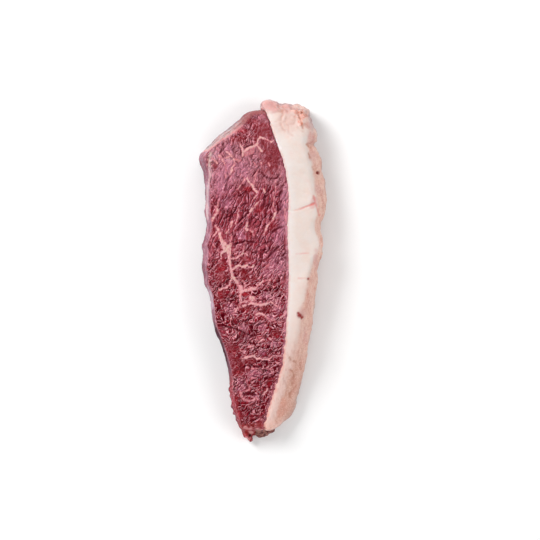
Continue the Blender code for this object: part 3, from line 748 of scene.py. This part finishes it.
def make_lean():
    piece = rough_out("lean", "lean_muscle", MUSCLE_TRIMS, TAG + FLAP + BEADS, spacing=0.72, smoothing=3)
    refine(piece, lambda centre, normal: normal.z > 0.3 and centre.z > 4.0)

    points, normals = points_of(piece)
    y = points[:, 1]
    wobble, fine, slow = drifts_on(points)
    up = ease(normals[:, 2], 0.25, 0.75)
    down = ease(normals[:, 2], -0.4, -0.85)
    cut_face = np.maximum(up, down)
    side = 1 - cut_face
    to_fat = distance_to_node(points, "fat_cap")
    lean_over = fibre_lean(points) - fibre_turn(points)

    # The narrow half is pebbly, and so is the dark meat near the wide end. The rest of the wide end is calm.
    wine = patches(points, WINE, wobble)
    pebbly = np.maximum(ease(y + 9 * slow, 20, -10), 0.85 * wine)
    calm = ease(y + 6 * slow + 3 * wobble, 40, 56) * (1 - 0.9 * wine)
    cobbled = np.maximum(pebbly, 0.8 * calm)
    keep_grain(piece, fibre_grain(points, cobbled))
    strokes, cobbles = bundles_on(piece, *STROKES), bundles_on(piece, *COBBLES)
    big_wall, big_slant, _, _ = bundles_on(piece, *HANKS)
    wall, slant = (strokes[i] + (cobbles[i] - strokes[i]) * cobbled for i in (0, 1))
    step = strokes[3] + (cobbles[3] - strokes[3]) * cobbled[:, None]
    sideways = step[:, 0] * np.cos(lean_over) - step[:, 1] * np.sin(lean_over)
    lengthways = step[:, 0] * np.sin(lean_over) + step[:, 1] * np.cos(lean_over)

    # Fat follows the bundles' walls, so each bundle takes its share of it from somewhere near its own middle.
    snapped = points.copy()
    snapped[:, 0] += 0.5 * sideways + 0.3 * slow
    snapped[:, 1] += 0.5 * lengthways + 0.3 * wobble
    share = 0.34 - 0.2 * calm
    straight, stepped = (strongest(p, MARBLING, wobble + fine, 0.3) for p in (points, snapped))
    marbling = straight + share * (stepped - straight)
    marbling *= np.clip(1.0 + 0.5 * drift(points, 1.5, 64.0), 0.5, 1.1)
    whiskers = ease(big_wall, 0.07, 0.01) * ease(drift(points, 8.0, 44.0), 0.0, 0.6)
    marbling = np.maximum(marbling, 0.35 * whiskers) * np.maximum(cut_face, ease(y, -86, -88))
    keep = 1 - ease(marbling, 0.15, 0.75)
    split = strongest(points, SPLITS, wobble, 0.3)
    bloody, lilac, smooth = (patches(points, places, wobble) for places in (BLOODY, LILAC, SMOOTH))

    # How deep the gaps between bundles bite.
    bite = np.clip(0.85 + 0.8 * drift(points, 3.5, 61.0), 0.3 + 0.3 * pebbly, 1)
    bite = bite * (1 - 0.2 * calm) * (1 - 0.6 * bloody)
    bite *= (1 - 0.3 * lilac) * (1 - 0.2 * smooth) * (0.3 + 0.7 * keep)
    relief = 0.66 * ease(wall, 0.0, 0.34) * bite + 0.36 * slant * (1 - 0.6 * bloody) * (1 - 0.4 * lilac)
    relief += 0.15 * ease(big_wall, 0.0, 0.2) + 0.12 * big_slant - 0.5
    relief *= (0.4 + 0.6 * keep) * (1 - 0.25 * smooth)
    relief += 0.2 * marbling - 0.5 * split * keep + 0.22 * slow
    flank = 0.5 * drift(points * (1, 0.5, 1.6), 4.0, 12.0) + 0.16 * drift(points, 1.4, 15.0)
    seam_wall = ease(to_fat, 1.2, 0.5) * side
    move = relief * up + 0.4 * (relief - 0.8) * down + flank * side * (1 - seam_wall) + 0.25 * seam_wall
    move -= 0.8 * side * ease(normals[:, 1], 0.1, 0.4) * ease(y, 66.0, 72.0)
    move += 0.4 * ease(to_fat, 1.6, 0.3) * up
    points[:, 0] += meander(points) * ease(to_fat, 2.6, 0.4)
    points[:, :2] += (0.2 + 0.15 * calm[:, None]) * normals[:, :2] * ease(to_fat, 1.3, 0.4)[:, None]
    points = points + normals * move[:, None]
    move_points(piece, points)

    x, y, z = points.T
    facing_up = normals[:, 2]
    end = ease(y + wobble, -83.5, -87.5)
    reddened = ease(y + 2 * wobble, -54.0, -64.0)
    # Where the left side turns under in the narrow half, which gets painted shade.
    under = ease(facing_up, 0.36, 0.12) * ease(y + 2 * slow, -22.0, -36.0) * ease(y, -68.0, -54.0)
    past_edge = 0.78 * (y - np.interp(x, *zip(*SILVERSKIN_EDGE))) * (facing_up > -0.2)
    silverskin = ease(past_edge + 0.2 * wobble, -0.3, 0.3) * ease(y, 64.0, 67.0) * (1 - seam_wall)
    membrane_edge = strongest(points, [(0.8, 0.9, *SILVERSKIN_EDGE)], wobble + fine)
    pale_rim = strongest(points, [(0.9, 0.75, *PALE_RIM[:3]), (1.7, 0.8, *PALE_RIM[2:])], wobble + fine, 0.6)
    keep_masks(
        piece,
        cobbled=cobbled, pebbly=pebbly, calm=calm, bite=bite, marbling=marbling,
        bloody=bloody, lilac=lilac, smooth=smooth, reddened=reddened, silverskin=silverskin, end=end,
        split=split * keep,
        deep=ease(y + 3 * wobble, -58, -74),
        pale=patches(points, PALE, wobble) * ease(z + 2 * wobble, 8.0, 17.0),
        # Painted sheen over the face near the fat.
        near_fat=ease(to_fat, 7.0, 1.5) * ease(y, -12, 4) * ease(y + 3 * wobble, 54, 44),
        fresh=patches(points, FRESH, wobble + fine),
        flank=side * (1 - end) * (1 - seam_wall) * (1 - 0.4 * reddened),
        # Painted sheen on the upper part of the left side.
        chalky=patches(points, CHALKY, wobble) * side * ease(z + 2 * wobble + 3 * slow, 4.0, 16.0),
        underside_edge=under * (x < -10),
        rim=ease(facing_up, 0.3, 0.55) * ease(facing_up, 0.85, 0.65) * (1 - end) * (to_fat > 2.5),
        # Painted shade on the lower part of the side.
        low=ease(z + wobble, 14.5, 7.0) * side * (1 - end),
        past_edge=past_edge + 0.25 * wobble,
        raw_end=ease(x + 2 * wobble, -19.0, -8.0),
        seam=ease(to_fat, 1.9, 0.5) * (1 - 0.5 * ease(y + 2 * wobble, -44.0, -54.0)),
        membrane_edge=membrane_edge * ease(facing_up, 0.1, 0.4) * ease(x, -8.0, -14.0),
        pale_rim=pale_rim * ease(facing_up, 0.0, 0.2) * ease(z + 1.5 * wobble, 9.0, 17.0),
        shaded=patches(points, SHADED, wobble) * side,
        gristle=strongest(points, [(1.0, 0.9, *GRISTLE)], wobble + fine, 0.8) * ease(facing_up, 0.0, 0.3),
        hole=spots(points, [HOLE]) * (facing_up > 0),
        beige=patches(points, BEIGE, wobble + fine) * np.maximum(marbling, end),
        flap=ease(x + 1.2 * wobble, -4.6, -3.0) * ease(y + 0.6 * fine, -89.4, -90.6),
    )
    return piece


# ---- The fat cap -------------------------------------------------------------


def make_fat():
    piece = rough_out("fat_cap", "fat_layer", FAT_TRIMS, FAT_LUMPS, spacing=0.6, smoothing=10)
    points, normals = points_of(piece)
    x, y, z = points.T
    wobble, fine, slow = drifts_on(points)
    up = ease(normals[:, 2], 0.4, 0.85)
    down = ease(normals[:, 2], -0.4, -0.85)
    cut_face = np.maximum(up, down)
    side = 1 - cut_face
    to_lean = distance_to_node(points, "lean")
    keep_grain(piece, points + 0.8 * np.stack([wobble, slow, fine], axis=1))
    lobule_wall, lobule_slant, lobule_tone, _ = bundles_on(piece, *LOBULES)
    lump_wall, lump_slant, _, _ = bundles_on(piece, *CRUMBS)

    crumple = ease(y + 3 * slow - 0.25 * x, 68, 82) * ease(x, 2.0, 12.0)
    corner, knobbly = (patches(points, places, wobble + fine) for places in (RAW_CORNER, KNOBBLY))
    rosy = patches(points, ROSY, wobble + slow)
    folds = [(width, 0.65 * depth, *route) for width, depth, _, *route in FOLDS]
    folds = strongest(points, folds, wobble + fine)
    stains = [(width, stain, *route) for width, _, stain, *route in FOLDS]
    stain = strongest(points, stains, wobble + fine, 0.5)
    crease = strongest(points, CREASES, wobble)
    faint = strongest(points, [(0.6, 0.5, *line) for line in FAINT_LINES], wobble)
    stab = spots(points, [STAB]) * ease(z, 9.0, 13.0)

    relief = 0.08 * ease(lobule_wall, 0.0, 0.3) + 0.08 * lobule_slant + 0.3 * slow
    skin_relief = 0.6 * slow + 0.4 * drift(points, 4.0, 22.0) + 0.22 * drift(points, 1.8, 25.0)
    move = relief * cut_face + skin_relief * side
    lumps = 0.9 * ease(lump_wall, 0.0, 0.35) + 0.7 * lump_slant + 0.3 * drift(points, 1.7, 33.0) - 0.5
    lumpy = np.maximum(np.maximum(0.32 * crumple, 0.4 * knobbly), corner)
    move += lumps * lumpy - folds - 0.5 * crease - 1.3 * stab
    move += 0.5 * side * ease(y, 4.0, -14.0)
    seam_wall = ease(to_lean, 1.2, 0.5) * side
    move = move * (1 - seam_wall) + 0.2 * seam_wall + 0.35 * ease(to_lean, 1.4, 0.3) * up
    points[:, 0] += meander(points) * ease(to_lean, 2.6, 0.4)
    points = points + normals * move[:, None]
    points[:, 0] -= 1.9 * patches(points, NOTCH, 0.0) * side * ease(points[:, 2], 5.0, 14.0)
    move_points(piece, points)

    x, y, z = points.T
    skin = spread(piece, side * (1 - seam_wall), 40)
    skin = ease(skin + 0.1 * wobble + 0.14 * slow, 0.12, 0.85)
    skin = skin * (1 - 0.7 * ease(y + 4 * slow + 2 * wobble, 69, 84))
    past_bend = x - np.interp(y, *zip(*FAT_BEND)) + 1.2 * wobble + 0.8 * fine
    keep_masks(
        piece,
        crumple=crumple, corner=corner, rosy=rosy, stab=stab, stain=stain, lobule=lobule_tone,
        skin=np.maximum(skin, ease(past_bend, -1.6, 2.0) * ease(y, -38, -50)),
        blush=ease(y + 1.5 * wobble + 2 * slow, 88.5, 92.5) * ease(x, 19.0, 15.0),
        # Painted shade where the fat turns down at the wide end and near the tip.
        outline=ease(normals[:, 2], 0.45, 0.12) * np.maximum(ease(y, 70, 80), 0.6 * ease(y, -56, -70)),
        sliver=strongest(points, [(0.8, 1.0, *SLIVER)], wobble) * up,
        # Painted shade on the lower part of the side.
        low=ease(z + wobble, 13.0, 5.0) * side,
        # Painted shade in the crevices between the lumps.
        crevice=ease(lump_wall, 0.14, 0.0) * np.maximum(np.maximum(0.3 * crumple, 0.5 * knobbly), corner),
        crease=np.maximum(crease, faint),
        blood=spots(points + 0.3 * np.stack([wobble, fine, slow], axis=1), BLOOD_SPOTS),
        by_seam=ease(to_lean, 6.0, 0.5) * ease(y, -50.0, -28.0),
        seam=ease(to_lean + 0.5 * fine + 0.5 * wobble * ease(y, -50, -60), 1.6, 0.6),
        narrow=ease(y, 10.0, -64.0),
        tip=ease(y, -34.0, -54.0),
        very_tip=ease(y + 1.5 * wobble, -82.0, -87.0),
    )
    return piece


# ---- Finishes ----------------------------------------------------------------


def moist_film():
    """A wet film that lies thicker in some places: how rough it looks, and a height for its ripples."""
    group = bpy.data.node_groups.new("moist film", "ShaderNodeTree")
    for name, usual in (("Driest", 0.5), ("Wettest", 0.25), ("Patch Size", 5.0)):
        socket = group.interface.new_socket(name, in_out="INPUT", socket_type="NodeSocketFloat")
        socket.default_value = usual
    for name in ("Roughness", "Ripple"):
        group.interface.new_socket(name, in_out="OUTPUT", socket_type="NodeSocketFloat")
    tree = Tree(group)
    given = tree.node("NodeGroupInput").outputs
    where = tree.place()
    scale = tree.calc("DIVIDE", 1.0, given["Patch Size"])
    pooled = tree.node("ShaderNodeTexNoise", {"Vector": where, "Scale": scale, "Detail": 4.0}).outputs["Fac"]
    roughness = tree.stretch(pooled, 0.35, 0.65, given["Wettest"], given["Driest"])
    tree.node("NodeGroupOutput", {"Roughness": roughness, "Ripple": tree.cloud(where, 0.9, 4.0)})
    return group


def finish(name):
    """A new material, its tree and its shader."""
    material = bpy.data.materials.new(name)
    material.use_nodes = True
    return material, Tree(material.node_tree), material.node_tree.nodes["Principled BSDF"]


def film_in(tree, film, driest, wettest, patch_size):
    inputs = {"Driest": driest, "Wettest": wettest, "Patch Size": patch_size}
    return tree.node("ShaderNodeGroup", inputs, node_tree=film).outputs


def raw_lean(film):
    material, tree, shader = finish("raw lean")
    where = tree.place()
    grain = tree.node("ShaderNodeAttribute", attribute_name="grain").outputs["Vector"]
    strands = tree.cloud(grain, 0.6, 3.0, 0.6, squeeze=(0.35, 1.0, 0.6))
    cobbled = tree.mask("cobbled")
    pebbly = tree.mask("pebbly")
    strokes, cobbles, threads = (tree.bundles(grain, *kind) for kind in (STROKES, COBBLES, THREADS))
    thread = threads[0]
    stroke_share = tree.times(strokes[0], tree.calc("SUBTRACT", 1.0, cobbled))
    wall = tree.calc("ADD", stroke_share, tree.times(cobbles[0], cobbled))
    toward = tree.part_of(tree.over(strokes[1], cobbles[1], cobbled), 1)
    tone = tree.part_of(tree.over(strokes[2], cobbles[2], cobbled), 0)

    # Each bundle has a painted highlight: a pinker ridge on the side that faces the wide end and the key
    # light. The gaps between them are darkened with painted shade.
    ridge = tree.times(
        tree.stretch(wall, 0.06, 0.13),
        tree.stretch(wall, 0.31, 0.18, 0.12, 1.0),
        tree.stretch(toward, 0.25, -0.2, 0.15),
        tree.stretch(thread, 0.03, 0.15, 0.4),
        tree.stretch(tone, 0.12, 0.45, 0.3),
    )
    # Wavy lines of painted highlight, stronger where the face is pebbly.
    ripple = tree.calc("SUBTRACT", tree.cloud(grain, 1.7, 1.0, squeeze=(0.5, 1.0, 0.7)), 0.5)
    ripple = tree.stretch(tree.calc("ABSOLUTE", ripple), 0.034, 0.008)
    ridge = tree.calc("MAXIMUM", ridge, tree.times(ripple, tree.shift(pebbly, 0.3, 0.75)))
    ridge = tree.times(ridge, tree.stretch(strands, 0.35, 0.55, 0.45))
    ridge = tree.times(
        tree.stretch(ridge, tree.shift(pebbly, 0.12, 0.17), 0.8),
        tree.shift("bloody", 0.9, 0.28),
        tree.shift("calm", 1.0, 0.85),
        tree.shift("deep", 1.0, 0.8),
        tree.shift("smooth", 1.0, 0.7),
    )
    # The gaps between bundles and between threads, which the colour below darkens as painted shade.
    gap = tree.times(tree.stretch(wall, 0.27, 0.08), "bite")
    fine_gap = tree.times(tree.stretch(thread, 0.15, 0.03), "bite")
    fresh = tree.times("fresh", tree.stretch(strands, 0.4, 0.55))
    colour = tree.coats(
        tree.over((166, 64, 78), (148, 48, 62), tone),
        ((138, 12, 34), pebbly, 0.9),
        ((134, 14, 28), "deep", 0.4),
        ((212, 160, 172), "calm", 0.46),
        # Painted sheen: a pale mauve over the face near the fat.
        ((216, 156, 174), "near_fat", 0.56),
        # Painted sheen in the lilac patches.
        ((204, 130, 156), "lilac", tree.shift(pebbly, 0.56, 0.44)),
        ((130, 14, 26), "bloody", 0.88),
        (tree.over((176, 92, 110), (152, 62, 78), pebbly), "smooth", 0.55),
        ((226, 176, 184), "pale", 0.55),
        ((96, 4, 22), tree.stretch(strands, 0.46, 0.34), 0.5),
        ((222, 140, 158), tree.stretch(strands, 0.55, 0.68), tree.shift(pebbly, 0.45, 0.25)),
        ((206, 44, 60), fresh, 0.5),
        # Painted shade in the gaps between threads and between bundles.
        ((104, 0, 20), fine_gap, 0.8),
        (tree.over((86, 8, 22), (80, 0, 12), pebbly), gap, 0.96),
        # The painted highlight on each bundle's ridge.
        (tree.over((236, 156, 174), (255, 180, 192), pebbly), ridge),
        # Painted shade down the splits.
        ((84, 4, 22), "split", 0.74),
    )

    # The left side: its skin is streaked mauve, reddened towards the narrow end and pale along the rim.
    streaks = tree.cloud(where, 1.6, squeeze=(0.9, 0.25, 1.0))
    raw_edge = tree.over((160, 26, 38), (222, 92, 104), tree.stretch(tree.cloud(where, 1.5), 0.46, 0.62))
    flank = tree.coats(
        tree.over((194, 142, 158), (138, 80, 100), tree.stretch(streaks, 0.4, 0.62)),
        # Painted sheen on the upper part of the side.
        ((202, 176, 190), "chalky"),
        (raw_edge, "reddened", 0.9),
    )
    colour = tree.coats(
        colour,
        (flank, "flank", 0.85),
        # Painted shade where the left side turns under.
        ((58, 8, 28), "underside_edge", 0.95),
        ((206, 138, 150), "rim", 0.4),
        ((126, 72, 88), "shaded", 0.7),
        ((232, 202, 204), "pale_rim", 0.8),
    )

    # The marbling runs along the threads, so its edges are ragged.
    ragged = tree.calc("MULTIPLY", "marbling", tree.stretch(thread, 0.0, 0.4, 1.35, 0.7))
    ragged = tree.calc("MULTIPLY", ragged, tree.stretch(strands, 0.36, 0.62, 0.76, 1.16))
    fatty = tree.over((230, 168, 172), (222, 176, 166), tree.stretch(tree.cloud(where, 1.6), 0.4, 0.62))
    fatty = tree.coats(fatty, ((228, 164, 172), pebbly, 0.45))
    # Along the seam: a pink border, and at the calm wide end a painted shadow in the seam.
    beside = tree.over((210, 138, 152), (134, 56, 68), tree.stretch("calm", 0.5, 0.9))
    past_edge = tree.mask("past_edge")
    layer = tree.calc("ABSOLUTE", tree.calc("SUBTRACT", past_edge, 2.2))
    silver = tree.over((206, 180, 178), (188, 156, 156), tree.stretch(streaks, 0.42, 0.62))
    silver = tree.coats(
        tree.over((220, 160, 162), silver, tree.stretch(past_edge, 0.6, 1.4)),
        ((170, 118, 122), tree.stretch(layer, 0.5, 0.1), 0.7),
        ((154, 126, 130), tree.stretch(past_edge, 3.0, 4.0), 0.8),
        ((150, 74, 76), "raw_end", 0.85),
    )
    # The flap under the fat's tip is mottled grey-brown.
    stale = tree.over((182, 132, 120), (112, 70, 68), tree.stretch(tree.cloud(where, 1.8), 0.42, 0.6))
    colour = tree.coats(
        colour,
        ((202, 112, 124), tree.stretch(ragged, 0.08, 0.42), 0.85),
        (fatty, tree.stretch(ragged, 0.36, 0.8)),
        (beside, "seam", 0.6),
        (silver, "silverskin", 0.95),
        # Painted shade on the lower part of the side.
        ((92, 58, 72), "low", 0.75),
        ((226, 158, 160), "membrane_edge", 0.6),
        ((220, 192, 182), "gristle", 0.8),
        ((218, 192, 176), "beige", tree.stretch(strands, 0.4, 0.6, 0.3, 0.75)),
        ((186, 66, 60), "end", 0.34),
        (stale, "flap", 0.9),
        # Painted shade in the hole under the tag.
        ((52, 14, 12), "hole"),
    )

    wet = film_in(tree, film, 0.34, 0.17, 5.0)
    bundle_height = tree.times(tree.stretch(wall, 0.0, 0.3), "bite")
    height = tree.calc("ADD", bundle_height, tree.times(tree.stretch(thread, 0.0, 0.3), 0.5))
    normal = tree.bumps((height, 0.35, 0.75), (strands, 0.4, 0.65), (wet["Ripple"], 0.15, 0.5))
    # No light gets to glint down in the gaps.
    hidden = tree.calc("MAXIMUM", tree.calc("MAXIMUM", gap, "split"), "underside_edge")
    open_face = tree.calc("SUBTRACT", 1.0, hidden)
    tree.feed(shader, {
        "Base Color": colour,
        "Roughness": wet["Roughness"],
        "Normal": normal,
        "IOR": 1.33,
        "Specular IOR Level": tree.times(open_face, 0.16),
        "Coat Weight": tree.times(open_face, 0.07),
        "Coat Roughness": 0.12,
        "Subsurface Weight": 0.25,
        "Subsurface Radius": (1.0, 0.2, 0.15),
        "Subsurface Scale": 1.2 * MM,
    })
    return material


def raw_fat(film):
    material, tree, shader = finish("raw fat")
    where = tree.place()
    blotch = tree.cloud(where, 7.0, 4.0)
    fleck = tree.cloud(where, 1.6, 4.0)
    speck = tree.cloud(where, 0.8, 3.0, 0.65)
    streak = tree.cloud(where, 2.6, 4.0, squeeze=(1.0, 0.3, 0.6))
    wrinkle = tree.cloud(where, 1.1, 3.0, squeeze=(1.0, 0.34, 0.5))

    upper = tree.over((224, 211, 205), (222, 206, 198), "lobule")
    lower = tree.over((226, 200, 190), (222, 192, 181), tree.stretch(blotch, 0.4, 0.6))
    skin = tree.coats(
        tree.over((220, 166, 148), (230, 190, 174), tree.stretch(streak, 0.4, 0.6)),
        ((204, 138, 122), tree.stretch(blotch, 0.5, 0.64), 0.8),
        ((236, 200, 184), tree.stretch(fleck, 0.5, 0.64), 0.6),
        ((212, 158, 140), "tip", 0.55),
    )
    ragged = tree.over((252, 206, 194), (220, 130, 106), tree.stretch(fleck, 0.42, 0.6))
    membrane = tree.over((232, 184, 178), (234, 156, 146), "narrow")
    colour = tree.coats(
        tree.over(upper, lower, "narrow"),
        ((236, 200, 191), "tip", 0.85),
        ((224, 194, 182), tree.stretch(blotch, 0.5, 0.72), 0.4),
        ((230, 222, 219), "by_seam", 0.6),
        (skin, "skin"),
        ((244, 196, 182), "very_tip", 0.7),
        ((220, 184, 174), "crumple", 0.75),
        (tree.over((208, 148, 142), (220, 144, 122), "tip"), "rosy", 0.55),
        ((200, 142, 126), tree.stretch(wrinkle, 0.54, 0.66), tree.times("tip", 0.4)),
        ((246, 214, 202), tree.stretch(wrinkle, 0.44, 0.34), tree.times("tip", 0.3)),
        ((196, 136, 122), tree.stretch(speck, 0.53, 0.66), tree.times("skin", 0.7)),
        ((244, 208, 194), tree.stretch(speck, 0.45, 0.34), tree.times("skin", 0.7)),
        (ragged, "corner", 0.9),
        # Painted shade in the crevices between the lumps.
        ((178, 100, 84), "crevice", 0.55),
        ((214, 156, 152), "blush", 0.8),
        # Painted shade where the fat turns down.
        ((168, 134, 138), "outline", 0.7),
        # Painted shade on the lower part of the side.
        ((160, 128, 122), "low", 0.65),
        (membrane, "seam", tree.shift("tip", 0.65, 0.75)),
        # The painted highlight beside the seam.
        ((240, 236, 238), "sliver", 0.9),
        ((216, 108, 102), "crease", 0.85),
        ((142, 20, 24), "blood", 0.95),
        ((184, 114, 88), "stain", 0.75),
        ((128, 20, 22), "stab"),
    )

    wet = film_in(tree, film, 0.58, 0.4, 9.0)
    bloodied = tree.calc("MAXIMUM", "stab", tree.times("blood", 0.8))
    clean = tree.calc("SUBTRACT", 1.0, bloodied)
    tree.feed(shader, {
        "Base Color": colour,
        "Roughness": wet["Roughness"],
        "Normal": tree.bumps((fleck, 0.4, 0.6), (wet["Ripple"], 0.12, 0.5)),
        "Specular IOR Level": tree.times(clean, 0.5),
        "Coat Weight": tree.times(clean, 0.12),
        "Coat Roughness": 0.35,
        "Subsurface Weight": 0.25,
        "Subsurface Radius": (1.0, 0.6, 0.45),
        "Subsurface Scale": 2.5 * MM,
    })
    return material


# ---- The studio --------------------------------------------------------------


def make_floor():
    bpy.ops.mesh.primitive_plane_add(size=4.0, location=(0, 0, 0))
    floor = bpy.context.active_object
    floor.name = "floor"
    material, tree, shader = finish("pale floor")
    tree.feed(shader, {"Base Color": paint(253, 253, 253), "Roughness": 0.9})
    floor.data.materials.append(material)


def soft_light(name, place, size, power):
    """A square softbox that faces the slice."""
    light = bpy.data.lights.new(name, "AREA")
    light.size = size
    light.energy = power
    box = bpy.data.objects.new(name, light)
    bpy.context.collection.objects.link(box)
    box.location = place
    box.rotation_euler = (-Vector(place)).to_track_quat("-Z", "Y").to_euler()


def make_studio():
    make_floor()
    world = bpy.data.worlds.new("studio")
    world.use_nodes = True
    background = world.node_tree.nodes["Background"].inputs
    background["Color"].default_value = (1.0, 1.0, 1.0, 1.0)
    background["Strength"].default_value = 0.30
    bpy.context.scene.world = world
    soft_light("key softbox", (-0.60, 0.48, 0.66), 0.50, 7.9)
    soft_light("right softbox", (0.85, -0.15, 0.70), 0.80, 4.3)
    soft_light("near softbox", (-0.25, -0.90, 0.60), 0.80, 3.3)
    soft_light("far softbox", (0.30, 1.00, 0.60), 0.80, 2.7)
    bpy.context.scene.view_settings.view_transform = "Standard"


def make_camera():
    """Straight above the slice, on a long lens."""
    camera = bpy.data.cameras.new("camera")
    camera.lens = 100.0
    camera.sensor_width = 36.0
    holder = bpy.data.objects.new("camera", camera)
    bpy.context.collection.objects.link(holder)
    view_width = 306.6
    mid_height = 11.0
    distance = view_width * camera.lens / camera.sensor_width
    holder.location = Vector((4.3, 0.6, distance + mid_height)) * MM
    holder.rotation_euler = (0, 0, 0)
    bpy.context.scene.camera = holder


film = moist_film()
lean = make_lean()
lean.data.materials.append(raw_lean(film))
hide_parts("lean")
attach(lean, "root")
fat = make_fat()
fat.data.materials.append(raw_fat(film))
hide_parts("fat_cap")
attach(fat, "root")
make_studio()
make_camera()
